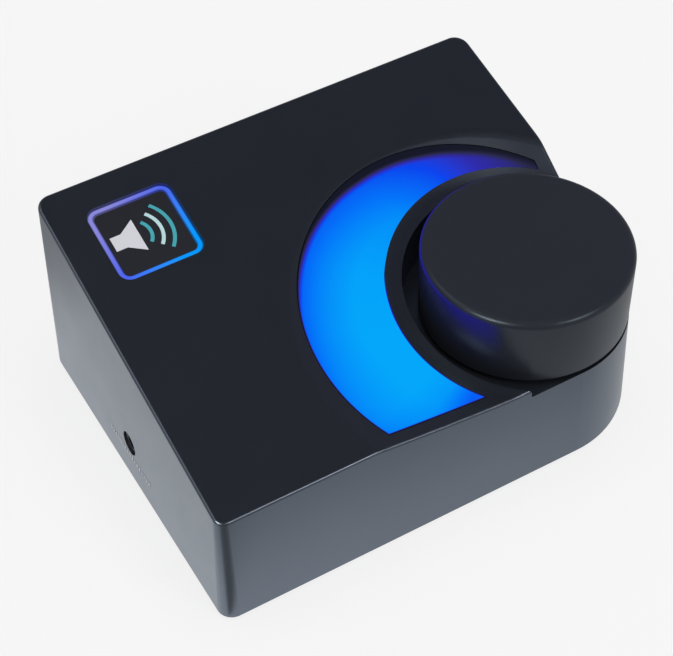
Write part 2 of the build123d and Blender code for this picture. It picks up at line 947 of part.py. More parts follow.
def encoder_case():
    """Hollow case of the rotary encoder, open at the top."""
    half = encoder_width / 2
    case = block(
        knob_x - half, knob_x + half, knob_y - half, knob_y + half, control_board_top, recess_underside
    )
    low = control_board_top + encoder_case_wall
    inside = encoder_rotor_radius + encoder_rotor_gap
    case = case - post(knob_x, knob_y, low, recess_underside, inside)
    flange = encoder_bush_flange_radius + screw_gap
    top = recess_underside - encoder_bush_flange_thickness
    return case - post(knob_x, knob_y, top, recess_underside + 1, flange)


def encoder_bushing():
    """Threaded bushing that the nut clamps in the recess floor."""
    top = recess_floor + encoder_bush_stand
    low = recess_underside - encoder_bush_flange_thickness
    bush = post(knob_x, knob_y, low, recess_underside, encoder_bush_flange_radius)
    bush = bush + post(knob_x, knob_y, recess_underside - 0.1, top, encoder_bush_radius)
    return bush - post(knob_x, knob_y, rim, reach, encoder_shaft_radius + encoder_running_gap)


def encoder_washer():
    """Flat washer under the nut."""
    top = recess_floor + encoder_washer_thickness
    washer = post(knob_x, knob_y, recess_floor, top, encoder_washer_radius)
    return washer - post(knob_x, knob_y, rim, reach, encoder_bush_radius + screw_gap)


def encoder_nut():
    """Hexagon nut of the bushing."""
    low = recess_floor + encoder_washer_thickness
    nut = extrude(Pos(knob_x, knob_y, low) * RegularPolygon(encoder_nut_radius, 6), amount=encoder_nut_thickness)
    return nut - post(knob_x, knob_y, rim, reach, encoder_bush_radius + screw_gap)


insert_top = knob_top - knob_cap_top
insert_low = recess_floor + encoder_bush_stand + insert_bush_gap
shaft_top = insert_top - shaft_end_gap
rotor_low = control_board_top + encoder_case_wall + encoder_rotor_gap


def shaft_form(gap, z_low, z_high):
    """Round shaft with a flat near its top, grown by gap."""
    form = post(knob_x, knob_y, z_low, z_high, encoder_shaft_radius + gap)
    flat_y = knob_y + encoder_shaft_radius - encoder_flat + gap
    flat_low = shaft_top - encoder_flat_length
    return form - block(
        knob_x - knob_radius, knob_x + knob_radius, flat_y, knob_y + knob_radius, flat_low, z_high + 1
    )


def encoder_shaft():
    """Steel shaft that the knob turns."""
    return shaft_form(0, rotor_low + encoder_rotor_thickness, shaft_top)


def encoder_rotor():
    """Contact wheel at the foot of the shaft."""
    return post(knob_x, knob_y, rotor_low, rotor_low + encoder_rotor_thickness, encoder_rotor_radius)


def knob_insert():
    """Plastic core of the knob: a disc with a hub and ribs that grip the shaft."""
    disc_radius = knob_radius - knob_skirt - insert_gap
    disc_low = insert_top - insert_disc_thickness
    insert = post(knob_x, knob_y, disc_low, insert_top, disc_radius)
    insert = insert + post(knob_x, knob_y, insert_low, disc_low + 1, insert_hub_radius)
    rib_low = disc_low - insert_rib_height
    rib_length = disc_radius - insert_hub_radius * 0.5
    for number in range(insert_rib_count):
        rib = Pos(rib_length / 2 + insert_hub_radius * 0.4, 0, 0) * Box(
            rib_length, insert_rib_width, insert_rib_height + 1
        )
        turned = Rot(0, 0, number * 360 / insert_rib_count) * rib
        insert = insert + Pos(knob_x, knob_y, rib_low + (insert_rib_height + 1) / 2) * turned
    insert = insert & post(knob_x, knob_y, insert_low, insert_top, disc_radius)
    return insert - shaft_form(shaft_grip_gap, rim, shaft_top + shaft_end_gap / 2)


def knob_cap():
    """Turned cup that covers the insert."""
    cap = post(knob_x, knob_y, knob_bottom, knob_top, knob_radius)
    cap = fillet(cap.edges().sort_by(Axis.Z)[-1], knob_edge_radius)
    low_edge = cap.edges().filter_by(GeomType.CIRCLE).sort_by(Axis.Z)[0]
    cap = chamfer(low_edge, knob_foot_bevel)
    return cap - post(knob_x, knob_y, knob_bottom - 1, insert_top, knob_radius - knob_skirt)


def badge_light_guide():
    """Clear frame of the badge, with the flange that seats under the roof."""
    depth = roof_depth
    frame = badge_square(badge_size, badge_corner, badge_sink, depth)
    inner = badge_size - 2 * badge_line
    frame = frame - badge_square(inner, badge_corner - badge_line, -roof, depth)
    outer = badge_size + 2 * badge_flange
    flange = badge_square(outer, badge_corner + badge_flange, depth, depth + badge_flange_thickness)
    return frame + flange


def badge_plate():
    """Dark plate inside the light frame."""
    inner = badge_size - 2 * (badge_line + badge_gap)
    corner = badge_corner - badge_line - badge_gap
    return badge_square(inner, corner, badge_sink + badge_plate_sink, roof_depth)


def badge_board():
    """Light board under the badge, with the tab that its lead leaves from."""
    length = badge_board_back + badge_board_front
    place = badge_frame_place(0, (badge_board_back - badge_board_front) / 2, badge_board_depth)
    board = place * Pos(0, 0, -badge_board_thickness / 2) * Box(
        badge_board_width, length, badge_board_thickness
    )
    for side in (-1, 1):
        hole = badge_frame_place(side * badge_screw_spread, 0, badge_board_depth) * Cylinder(
            small_screw_radius + screw_gap, 2 * roof
        )
        board = board - hole
    return board


def badge_leds():
    """Four lights of the badge."""
    return group(
        badge_frame_place(side * badge_led_spread, end * badge_led_spread, badge_board_depth)
        * led_block(led_width, led_depth, led_height)
        for side in (-1, 1)
        for end in (-1, 1)
    )


def badge_lead_header():
    """Socket on the main board that takes the badge's lead."""
    y = badge_lead_y
    half = badge_lead_width / 2 + lead_header_margin
    header = block(
        badge_x - half,
        badge_x + half,
        y - lead_header_depth / 2,
        y + lead_header_depth / 2,
        main_board_top,
        main_board_top + lead_header_height,
    )
    slot = block(
        badge_x - badge_lead_width / 2 - screw_gap,
        badge_x + badge_lead_width / 2 + screw_gap,
        y - badge_lead_thickness / 2 - screw_gap,
        y + badge_lead_thickness / 2 + screw_gap,
        main_board_top + lead_header_height / 2,
        reach,
    )
    return header - slot


def badge_lead():
    """Flat lead between the badge board and the main board."""
    lead = block(
        badge_x - badge_lead_width / 2,
        badge_x + badge_lead_width / 2,
        badge_lead_y - badge_lead_thickness / 2,
        badge_lead_y + badge_lead_thickness / 2,
        main_board_top + lead_header_height / 2,
        top_height(badge_lead_y),
    )
    under_board = badge_frame_place(0, 0, badge_board_depth + badge_board_thickness)
    return split(lead, bisect_by=Plane(under_board), keep=Keep.BOTTOM)


makers = {
    "top_housing": top_housing,
    "bottom_cover": bottom_cover,
    "rubber_feet": rubber_feet,
    "case_screws": case_screws,
    "rear_panel": rear_panel,
    "panel_screws": panel_screws,
    "input_jack_left": lambda: line_jack(line_jack_x[0]),
    "input_jack_right": lambda: line_jack(line_jack_x[1]),
    "output_jack_left": lambda: line_jack(line_jack_x[2]),
    "output_jack_right": lambda: line_jack(line_jack_x[3]),
    "jack_nuts": jack_nuts,
    "power_inlet_shell": power_inlet_shell,
    "power_inlet_tongue": power_inlet_tongue,
    "pair_button": pair_button,
    "pair_switch_plunger": pair_switch_plunger,
    "pair_switch_case": pair_switch_case,
    "main_board": main_board,
    "board_screws": board_screws,
    "side_jack": side_jack,
    "wireless_module": wireless_module,
    "wireless_shield": wireless_shield,
    "main_board_chips": main_board_chips,
    "capacitors": capacitors,
    "board_link_header": board_link_header,
    "control_board": control_board,
    "control_board_screws": control_board_screws,
    "crescent_leds": crescent_leds,
    "light_box": light_box,
    "crescent_lens": crescent_lens,
    "encoder_case": encoder_case,
    "encoder_bushing": encoder_bushing,
    "encoder_washer": encoder_washer,
    "encoder_nut": encoder_nut,
    "encoder_shaft": encoder_shaft,
    "encoder_rotor": encoder_rotor,
    "knob_insert": knob_insert,
    "knob_cap": knob_cap,
    "badge_light_guide": badge_light_guide,
    "badge_plate": badge_plate,
    "badge_board": badge_board,
    "badge_board_screws": badge_board_screws,
    "badge_leds": badge_leds,
    "badge_lead": badge_lead,
    "badge_lead_header": badge_lead_header,
}

os.makedirs("parts", exist_ok=True)
for node, maker in makers.items():
    export_step(maker(), f"parts/{node}.step")
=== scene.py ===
from math import cos, radians, sin

import bpy
from bpy.props import FloatProperty, FloatVectorProperty, PointerProperty
from mathutils import Matrix, Vector


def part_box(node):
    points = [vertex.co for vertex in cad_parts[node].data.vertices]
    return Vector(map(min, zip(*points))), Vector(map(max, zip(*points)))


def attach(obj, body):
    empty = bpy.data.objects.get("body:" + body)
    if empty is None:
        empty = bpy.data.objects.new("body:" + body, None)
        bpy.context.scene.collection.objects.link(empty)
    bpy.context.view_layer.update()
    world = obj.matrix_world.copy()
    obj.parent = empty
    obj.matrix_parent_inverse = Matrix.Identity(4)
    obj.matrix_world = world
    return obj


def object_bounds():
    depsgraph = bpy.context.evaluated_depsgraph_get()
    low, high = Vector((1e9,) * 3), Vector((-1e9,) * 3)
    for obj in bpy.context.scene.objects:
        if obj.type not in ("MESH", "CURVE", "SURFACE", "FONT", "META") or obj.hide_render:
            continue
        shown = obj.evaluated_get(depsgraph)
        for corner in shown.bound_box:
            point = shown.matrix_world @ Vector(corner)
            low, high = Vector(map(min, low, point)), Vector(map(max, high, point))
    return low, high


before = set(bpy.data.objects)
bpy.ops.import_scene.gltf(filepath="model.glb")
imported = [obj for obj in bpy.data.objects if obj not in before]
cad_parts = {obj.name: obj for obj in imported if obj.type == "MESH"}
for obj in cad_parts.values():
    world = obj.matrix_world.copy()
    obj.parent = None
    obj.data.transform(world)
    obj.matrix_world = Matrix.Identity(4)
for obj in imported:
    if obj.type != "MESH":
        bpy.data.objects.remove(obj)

bl_info = {
    "name": "Desktop volume controller",
    "version": (1, 0, 0),
    "blender": (4, 5, 0),
    "location": "View3D > Sidebar > Controller",
    "description": "Dresses the packed volume controller and sets up its studio stage",
    "category": "Object",
}

CAD_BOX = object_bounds()
CASE = "case"
IMAGE_WIDTH = 673
SENSOR_WIDTH = 36.0  # in millimetres, as cameras have it; all other lengths are in metres

KNOB_LOW, KNOB_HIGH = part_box("knob_cap")
KNOB_AXIS = (KNOB_LOW + KNOB_HIGH) / 2
KNOB_RINGS_PER_METRE = 3200.0
LENS_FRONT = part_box("crescent_lens")[0].y

# The lens' outer edge is a round arc: its centre from the knob's axis, and its radius.
LENS_ARC_SHIFT = Vector((-0.0127, -0.00145, 0.0))
LENS_ARC_RADIUS = 0.0464

# The crescent's light goes from the right tip over the back and the left to the front. Both angles
# are in degrees round the knob's axis. Each row has a place, from nought to one between them, and
# the share of the light there.
CRESCENT_START, CRESCENT_END = 50.0, 220.0
CRESCENT_ALONG = (
    (0.03, 0.16),
    (0.08, 0.27),
    (0.18, 0.44),
    (0.27, 0.64),
    (0.41, 0.84),
    (0.60, 0.97),
    (0.74, 1.0),
    (0.88, 1.0),
    (0.93, 0.90),
    (0.98, 0.60),
)
# Such rows for how far in the unlit outer edge reaches: nought stands for half a shade width
# outside the lens, and one for one and a half inside it.
CRESCENT_SHADE = (
    (0.03, 0.44),
    (0.18, 0.65),
    (0.27, 0.73),
    (0.41, 0.71),
    (0.51, 0.56),
    (0.65, 0.31),
    (0.74, 0.0),
)
# Such rows for the share of the light that is left beside that edge.
CRESCENT_FLOOR = ((0.4, 0.50), (0.65, 0.55), (0.75, 0.62), (0.85, 0.76))
SHADE_WIDTH = 0.0024
SHADE_SOFTNESS = 0.0011
OUTLINE_WIDTH = 0.0004
FILL_WIDTH = 0.014
FILL_RISE = 0.6

# The badge frame: half its side, its corner radius and the width of its line. The line is evenly
# bright over the last number's share of that width.
BADGE_HALF = 0.0115
BADGE_CORNER = 0.0032
BADGE_LINE = 0.00155
BADGE_CORE = 0.35

# The boards: the tracks under the green mask, their gap as a share of their pitch, how strongly
# they show, and both greens.
TRACKS_PER_METRE = 400.0
TRACK_GAP = 0.62
TRACK_SHARE = 0.6
MASK_GREEN = (0.008, 0.09, 0.035)
TRACK_GREEN = (0.02, 0.17, 0.07)

# The loudspeaker symbol, in eighths of its height: its outline, and the arcs beside it.
SPEAKER_OUTLINE = ((-7.0, -1.7), (-4.6, -1.7), (-1.2, -4.0), (-1.2, 4.0), (-4.6, 1.7), (-7.0, 1.7))
ARC_CENTRE = -2.6
TEAL_ARC_RADII = (3.8, 8.2)
ICE_ARC_RADIUS = 6.0
ARC_HALF_WIDTH = 0.38
ARC_HALF_ANGLE = 42.0
ARC_STEPS = 24

# The tick scale: how far it lies under the side socket's axis, and its ticks, each fourth one long.
SCALE_DROP = 0.0046
TICK_COUNT = 17
TICK_GROUP = 4
TICK_HALF_WIDTH = 0.00028
LONG_TICK_HALF = 0.00095
SHORT_TICK_HALF = 0.0006

# A flat side is the faces of a node that look along a direction, by at least this cosine, and lie
# within a depth of the outermost one.
FLAT_ENOUGH = 0.97
PLATE_DEPTH = 0.1
SIDE_WALL_DEPTH = 0.0026
PANEL_DEPTH = 0.0004

# The lamps: name, power setting, place, side, and whether matt surfaces and gloss see them.
LAMPS = (
    ("left_lamp", "left_power", (-0.92, -0.40, 0.74), 0.45, False, True),
    ("front_lamp", "front_power", (0.36, -0.97, 0.78), 0.45, True, True),
    ("top_lamp", "top_power", (0.1, 0.0, 1.6), 1.0, True, False),
    ("back_lamp", "back_power", (-0.8, 0.6, 1.2), 1.0, True, True),
)
# The heights of a gloss ray, as the sine of its angle, where the room's three lights stand.
HORIZON_HEIGHT, WALL_HEIGHT, CEILING_HEIGHT = 0.15, 0.68, 0.95
# The floor's glow changes from its left share to its right one between this many times the distance
# of the part's left side and the part's right side.
GLOW_START = 1.4
# The gap in that glow is evenly dim over this share of its width.
GAP_CORE = 0.4


# ---- settings that a user would change ----


def colour_setting(name, description, default):
    """A colour property with the usual limits."""
    return FloatVectorProperty(
        name=name, description=description, subtype="COLOR", size=3, min=0.0, max=1.0, default=default
    )


def length_setting(name, description, default):
    """A length property in metres."""
    return FloatProperty(name=name, description=description, default=default, min=0.0, unit="LENGTH")


def number_setting(name, description, default):
    """A plain number from nothing upwards."""
    return FloatProperty(name=name, description=description, default=default, min=0.0)


class CaseFinishSettings(bpy.types.PropertyGroup):
    """Colours of the case and the knob."""

    shell: colour_setting("Shell", "Satin slate lacquer of the housing", (0.130, 0.150, 0.184))
    knob: colour_setting("Knob", "Satin black of the knob", (0.0235, 0.0255, 0.0355))
    cover: colour_setting("Cover", "Moulded black of the bottom cover", (0.022, 0.023, 0.026))
    panel: colour_setting("Rear panel", "Powder coat of the rear panel", (0.018, 0.019, 0.022))


class LightSettings(bpy.types.PropertyGroup):
    """Colours of the lit pieces."""

    core: colour_setting("Crescent core", "Brightest light of the crescent", (0.0, 0.386, 0.956))
    azure: colour_setting("Crescent azure", "Light round the core", (0.0, 0.165, 0.947))
    blue: colour_setting("Crescent blue", "Light between azure and violet", (0.002, 0.056, 0.855))
    violet: colour_setting("Crescent violet", "Dim light towards the edge", (0.027, 0.022, 0.402))
    dusk: colour_setting("Crescent dusk", "Last light before the unlit edge", (0.023, 0.021, 0.070))
    unlit: colour_setting("Crescent unlit", "Smoked lens where no light falls", (0.007, 0.008, 0.018))
    smoke: colour_setting("Smoke", "Lens and frame themselves, when dark", (0.0008, 0.0010, 0.0024))
    mirrored: colour_setting("Crescent mirrored", "The crescent as seen in gloss", (0.03, 0.012, 1.0))
    mirror_gain: number_setting("Mirror gain", "Strength of the crescent in that gloss", 3.0)
    badge_back: colour_setting("Badge back", "Violet light of the back corner", (0.250, 0.245, 0.700))
    badge_side: colour_setting("Badge side", "Light of the side corners", (0.070, 0.127, 0.855))
    badge_front: colour_setting("Badge front", "Blue light of the front corner", (0.0, 0.314, 1.0))
    badge_edge: number_setting("Badge edge", "Share of that light at the frame line's edges", 0.30)


class MarkSettings(bpy.types.PropertyGroup):
    """Sizes and colours of the printed marks."""

    thickness: length_setting("Thickness", "Thickness of the printed marks", 0.00006)
    symbol_height: length_setting("Symbol height", "Height of the loudspeaker symbol", 0.0100)
    scale_length: length_setting("Scale length", "Length of the scale under the side socket", 0.0215)
    arrow_size: length_setting("Arrow size", "Size of the arrows over the rear sockets", 0.0018)
    print: colour_setting("Print", "Pale grey ink", (0.74, 0.74, 0.80))
    teal: colour_setting("Teal", "Darker arcs of the symbol", (0.05, 0.42, 0.50))
    ice: colour_setting("Ice", "Paler arc of the symbol", (0.55, 0.80, 0.82))


class StageSettings(bpy.types.PropertyGroup):
    """Camera, floor and lamps."""

    azimuth: FloatProperty(name="Azimuth", description="Camera's turn round the part", default=-28.9)
    elevation: FloatProperty(name="Elevation", description="Camera's height angle", default=48.23)
    roll: FloatProperty(name="Roll", description="Camera's roll", default=-1.49)
    distance: length_setting("Distance", "Camera's distance from its aim", 0.48547)
    aim_right: FloatProperty(name="Aim right", description="Sideways shift", default=-0.00406)
    aim_up: FloatProperty(name="Aim up", description="Upward shift", default=0.01319)
    aim_height: length_setting("Aim height", "Height of the point the camera circles", 0.0012)
    focal_pixels: number_setting("Focal pixels", "Focal length in image pixels", 1817.4)
    shift_right: FloatProperty(name="Shift right", description="Lens shift sideways", default=-0.0016)
    shift_up: FloatProperty(name="Shift up", description="Lens shift upwards", default=-0.0003)
    floor: colour_setting("Floor", "Pale floor", (0.95, 0.95, 0.95))
    floor_size: length_setting("Floor size", "Side of the floor", 8.0)
    shadow_share: number_setting("Shadow share", "Share of the floor's look that keeps shadows", 0.15)
    glow_near: number_setting("Glow near", "Floor brightness in reflections at the part's foot", 1.30)
    glow_far: number_setting("Glow far", "Floor brightness in reflections away from the part", 0.55)
    glow_reach: length_setting("Glow reach", "Distance over which the floor's glow fades", 0.05)
    glow_tint: colour_setting("Glow tint", "Cool tint of the floor's glow", (0.94, 0.975, 1.0))
    glow_left: number_setting("Glow left", "Share of the floor's glow at the left", 0.94)
    glow_right: number_setting("Glow right", "Share of the floor's glow at the right", 0.60)
    gap_share: number_setting("Gap share", "Share of the glow at the front left corner", 0.20)
    gap_heading: FloatProperty(name="Gap heading", description="Direction of that gap", default=-110.0)
    gap_width: FloatProperty(name="Gap width", description="Half of that gap's angle", default=62.0)
    ambient: number_setting("Ambient", "Even light of the room on matt surfaces", 0.28)
    horizon: number_setting("Horizon", "Brightness of the room at eye level", 0.20)
    walls: colour_setting("Walls", "Dim cool light of the room above eye level", (0.095, 0.096, 0.125))
    ceiling: colour_setting("Ceiling", "Dim cool light of the room overhead", (0.024, 0.026, 0.038))
    left_power: number_setting("Left power", "Power of the left lamp in watts", 7.0)
    front_power: number_setting("Front power", "Power of the front lamp in watts", 3.2)
    top_power: number_setting("Top power", "Power of the lamp overhead in watts", 10.5)
    back_power: number_setting("Back power", "Power of the high lamp behind the part in watts", 2.5)


# ---- shader building ----


class Value:
    """A shader socket that takes part in Python arithmetic by adding Math nodes."""

    def __init__(self, finish, socket):
        self.finish = finish
        self.socket = socket

    def _with(self, operation, first, second=None):
        inputs = {0: first} if second is None else {0: first, 1: second}
        return self.finish.node("ShaderNodeMath", {"operation": operation}, inputs).value(0)

    def __add__(self, other):
        return self._with("ADD", self, other)

    __radd__ = __add__

    def __sub__(self, other):
        return self._with("SUBTRACT", self, other)

    def __rsub__(self, other):
        return self._with("SUBTRACT", other, self)

    def __mul__(self, other):
        return self._with("MULTIPLY", self, other)

    __rmul__ = __mul__

    def __pow__(self, other):
        return self._with("POWER", self, other)

    def turned_from(self, other):
        """Angle of the point (other, self) round the origin, in radians."""
        return self._with("ARCTAN2", self, other)

    def at_least(self, other):
        return self._with("MAXIMUM", self, other)

    def at_most(self, other):
        return self._with("MINIMUM", self, other)

    def absolute(self):
        return self._with("ABSOLUTE", self)

    def whole_part_off(self):
        """What is left after the whole number is taken away."""
        return self._with("FRACT", self)

    def over(self, limit):
        """One where the value is over the limit, and nothing elsewhere."""
        return self._with("GREATER_THAN", self, limit)


class Placed:
    """A node that has been placed in a finish."""

    def __init__(self, finish, node):
        self.finish = finish
        self.node = node

    def value(self, output):
        return Value(self.finish, self.node.outputs[output])

    def socket(self, output):
        return self.node.outputs[output]


class Tree:
    """A node tree in which nodes are placed with their settings and inputs."""

    def __init__(self, tree):
        self.tree = tree
        tree.nodes.clear()

    def node(self, kind, settings=None, inputs=None):
        """Places a node: its settings first, then the values or links of its sockets."""
        node = self.tree.nodes.new(kind)
        for name, setting in (settings or {}).items():
            if name == "stops":
                self._set_stops(node.color_ramp, setting)
            else:
                setattr(node, name, setting)
        for key, given in (inputs or {}).items():
            self.feed(node.inputs[key], given)
        return Placed(self, node)

    def feed(self, socket, given):
        """Links a value or socket to a socket, or writes a plain number or colour on it."""
        if isinstance(given, Value):
            self.tree.links.new(given.socket, socket)
        elif isinstance(given, bpy.types.NodeSocket):
            self.tree.links.new(given, socket)
        elif hasattr(given, "__len__") and len(socket.default_value) == 4 and len(given) == 3:
            socket.default_value = (*given, 1.0)
        else:
            socket.default_value = given

    @staticmethod
    def _set_stops(ramp, stops):
        while len(ramp.elements) < len(stops):
            ramp.elements.new(1.0)
        for element, (place, colour) in zip(ramp.elements, stops):
            element.position = place
            element.color = (*colour, 1.0) if hasattr(colour, "__len__") else (colour,) * 3 + (1.0,)

    def blend(self, factor, first, second):
        """Mixes two colours."""
        mix = self.node("ShaderNodeMix", {"data_type": "RGBA"}, {0: factor, 6: first, 7: second})
        return mix.socket(2)

    def span(self, value, low, high, kind="LINEAR"):
        """Nought at low, one at high, and between them in between."""
        inputs = {0: value, 1: low, 2: high, 3: 0.0, 4: 1.0}
        return self.node("ShaderNodeMapRange", {"interpolation_type": kind}, inputs).value(0)

    def ramp(self, factor, stops, interpolation="LINEAR"):
        """Runs a value through a colour ramp."""
        node = self.node("ShaderNodeValToRGB", {"stops": stops}, {0: factor})
        node.node.color_ramp.interpolation = interpolation
        return node

    def place(self):
        """The point on the surface, in the part's own frame."""
        return self.node("ShaderNodeTexCoord").socket("Object")

    def axes(self):
        """The three coordinates of the point on the surface."""
        parts = self.node("ShaderNodeSeparateXYZ", None, {0: self.place()})
        return parts.value(0), parts.value(1), parts.value(2)

    def noise(self, scale):
        """A soft noise over the surface, with scale in cells per metre."""
        return self.node("ShaderNodeTexNoise", None, {"Vector": self.place(), "Scale": scale}).value(0)


class Finish(Tree):
    """A named surface finish built on one Principled shader."""

    def __init__(self, name, **surface):
        self.material = bpy.data.materials.new(name)
        self.material.use_nodes = True
        super().__init__(self.material.node_tree)
        self.shader = self.node("ShaderNodeBsdfPrincipled").node
        self.node("ShaderNodeOutputMaterial", None, {0: self.shader.outputs[0]})
        for key, given in surface.items():
            self.set(key.replace("_", " ").title().replace("Ior", "IOR"), given)

    def set(self, name, given):
        """Sets or links one socket of the shader."""
        self.feed(self.shader.inputs[name], given)

    def grain(self, scale, depth):
        """Adds a fine relief, depth in metres."""
        inputs = {"Strength": 1.0, "Distance": depth, "Height": self.noise(scale)}
        self.set("Normal", self.node("ShaderNodeBump", None, inputs).socket(0))

    def mottle(self, colour, change, scale):
        """Varies the base colour a little round its written value."""
        darker = [channel * (1.0 - change) for channel in colour]
        lighter = [min(channel * (1.0 + change), 1.0) for channel in colour]
        self.set("Base Color", self.blend(self.noise(scale), darker, lighter))

    def uneven_gloss(self, roughness, change, scale):
        """Varies the roughness a little round its written value."""
        self.set("Roughness", self.noise(scale) * (2 * change) + (roughness - change))


def plain_finish(
    name, colour, roughness, change=0.10, grain_scale=2600.0, grain_depth=0.00001, **surface
):
    """A moulded, lacquered or plated surface with slight unevenness."""
    finish = Finish(name, **surface)
    finish.mottle(colour, change, scale=60.0)
    finish.uneven_gloss(roughness, change=0.04, scale=140.0)
    finish.grain(grain_scale, grain_depth)
    return finish.material


def shell_lacquer():
    """Satin slate lacquer with metal flakes."""
    finish = Finish("shell_lacquer", metallic=0.93)
    finish.mottle(bpy.context.scene.case_finish.shell, change=0.05, scale=25.0)
    finish.uneven_gloss(0.31, change=0.03, scale=90.0)
    finish.grain(scale=5200.0, depth=0.000006)
    return finish.material


def knob_satin():
    """Satin black of the turned knob, with the faint rings of its turning."""
    finish = Finish("knob_satin", specular_ior_level=0.42, specular_tint=(0.76, 0.92, 1.0, 1.0))
    finish.mottle(bpy.context.scene.case_finish.knob, change=0.05, scale=30.0)
    x, y, z = finish.axes()
    radius = ((x - KNOB_AXIS.x) ** 2.0 + (y - KNOB_AXIS.y) ** 2.0) ** 0.5
    rings = ((radius + z) * KNOB_RINGS_PER_METRE).whole_part_off()
    finish.set("Roughness", rings * 0.02 + finish.noise(scale=120.0) * 0.05 + 0.28)
    finish.grain(scale=4200.0, depth=0.000005)
    return finish.material


def crescent_glow():
    """Smoked lens with its light: brightest at the left, fading to violet at the far tip."""
    settings = bpy.context.scene.lights
    finish = Finish("crescent_glow", roughness=0.4, specular_ior_level=0.05, emission_strength=1.0)
    x, y, _ = finish.axes()
    angle = (KNOB_AXIS.y - y).turned_from(KNOB_AXIS.x - x)
    turn = finish.span(angle, radians(CRESCENT_START - 180), radians(CRESCENT_END - 180))
    arc = KNOB_AXIS + LENS_ARC_SHIFT
    from_edge = LENS_ARC_RADIUS - ((x - arc.x) ** 2.0 + (y - arc.y) ** 2.0) ** 0.5
    shade = finish.ramp(turn, CRESCENT_SHADE).value(0) * (2 * SHADE_WIDTH) - 0.5 * SHADE_WIDTH
    lit = finish.span(from_edge, shade - SHADE_SOFTNESS, shade + SHADE_SOFTNESS, "SMOOTHSTEP")
    from_outline = from_edge.at_most(y - LENS_FRONT)
    lit = lit * finish.span(from_outline, 0.0, OUTLINE_WIDTH, "SMOOTHSTEP")
    inward = finish.span(from_edge, 0.0, FILL_WIDTH) ** FILL_RISE
    floor_share = finish.ramp(turn, CRESCENT_FLOOR).value(0)
    fill = floor_share + (1.0 - floor_share) * inward
    brightness = finish.ramp(turn, CRESCENT_ALONG).value(0) * fill * lit
    stops = (
        (0.0, settings.unlit),
        (0.10, settings.dusk),
        (0.30, settings.violet),
        (0.50, settings.blue),
        (0.70, settings.azure),
        (1.0, settings.core),
    )
    glow = finish.ramp(brightness, stops).socket(0)
    glossy = finish.node("ShaderNodeLightPath").value("Is Glossy Ray")
    strong = {0: tuple(settings.mirrored), "Scale": brightness * settings.mirror_gain}
    mirrored = finish.node("ShaderNodeVectorMath", {"operation": "SCALE"}, strong).socket(0)
    finish.set("Emission Color", finish.blend(glossy, glow, mirrored))
    finish.mottle(settings.smoke, change=0.05, scale=80.0)
    return finish.material


def badge_glow():
    """Lit frame, violet at its back corner and blue at its front corner."""
    settings = bpy.context.scene.lights
    finish = Finish("badge_glow", roughness=0.4, specular_ior_level=0.2, emission_strength=1.0)
    x, y, _ = finish.axes()
    middle, normal = badge_middle()
    across = x - middle.x
    backward = (y - middle.y) * (1.0 / normal.z)
    beside = (across.absolute() - (BADGE_HALF - BADGE_CORNER)).at_least(0.0)
    ahead = (backward.absolute() - (BADGE_HALF - BADGE_CORNER)).at_least(0.0)
    inset = BADGE_CORNER - (beside * beside + ahead * ahead) ** 0.5
    off_middle = (inset * (2.0 / BADGE_LINE) - 1.0).absolute()
    stops = ((0.15, settings.badge_back), (0.5, settings.badge_side), (0.85, settings.badge_front))
    # Nought at the back left corner, one at the front right corner.
    along = (across - backward) * (0.25 / BADGE_HALF) + 0.5
    core = finish.ramp(along, stops).socket(0)
    deep = [(place, [channel * settings.badge_edge for channel in colour]) for place, colour in stops]
    edge = finish.span(off_middle, BADGE_CORE, 1.0, "SMOOTHSTEP")
    finish.set("Emission Color", finish.blend(edge, core, finish.ramp(along, deep).socket(0)))
    finish.mottle(settings.smoke, change=0.05, scale=80.0)
    return finish.material


def board_green():
    """Solder mask through which the tracks show faintly."""
    finish = Finish("board_green", specular_ior_level=0.5)
    x, y, _ = finish.axes()
    track = ((x + y.absolute()) * TRACKS_PER_METRE).whole_part_off().over(TRACK_GAP)
    finish.set("Base Color", finish.blend(track * TRACK_SHARE, MASK_GREEN, TRACK_GREEN))
    finish.uneven_gloss(0.38, change=0.05, scale=200.0)
    return finish.material


def brushed(name, colour, roughness):
    """Bright metal with fine strokes."""
    finish = Finish(name, metallic=1.0)
    drawn_out = {"Vector": finish.place(), "Scale": (1.0, 1.0, 14.0)}
    place = finish.node("ShaderNodeMapping", None, drawn_out).socket(0)
    strokes = finish.node("ShaderNodeTexNoise", None, {"Vector": place, "Scale": 500.0}).value(0)
    finish.mottle(colour, change=0.08, scale=300.0)
    finish.set("Roughness", strokes * 0.12 + (roughness - 0.06))
    return finish.material


def printed(name, colour):
    """Thin ink."""
    return plain_finish(name, colour, 0.55, change=0.04, grain_scale=3000.0, grain_depth=0.000004)


def lit_white():
    """Body of the small lamps on the boards."""
    return plain_finish("lamp_white", (0.85, 0.84, 0.76), 0.4)


# ---- helpers for the pieces ----


def dress(material, *nodes):
    """Gives the nodes of the frame that finish."""
    for name in nodes:
        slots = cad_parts[name].data.materials
        for number in range(len(slots)):
            slots[number] = material


def face_towards(node, direction, depth):
    """Centre and normal of a node's outermost flat side that looks along direction."""
    direction = Vector(direction)
    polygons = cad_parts[node].data.polygons
    polygons = [p for p in polygons if p.normal.dot(direction) > FLAT_ENOUGH]
    if not polygons:
        raise RuntimeError(f"{node} has no side that looks along {tuple(direction)}")
    outermost = max(p.center.dot(direction) for p in polygons)
    outer = [p for p in polygons if p.center.dot(direction) > outermost - depth]
    area = sum(p.area for p in outer)
    centre = sum((p.center * p.area for p in outer), Vector()) / area
    normal = sum((p.normal * p.area for p in outer), Vector()).normalized()
    return centre, normal


def drop_on(plane, point, direction):
    """Moves a point along direction onto a plane given by a point on it and its normal."""
    on_plane, normal = plane
    direction = Vector(direction)
    return point + direction * (normal.dot(on_plane - point) / normal.dot(direction))


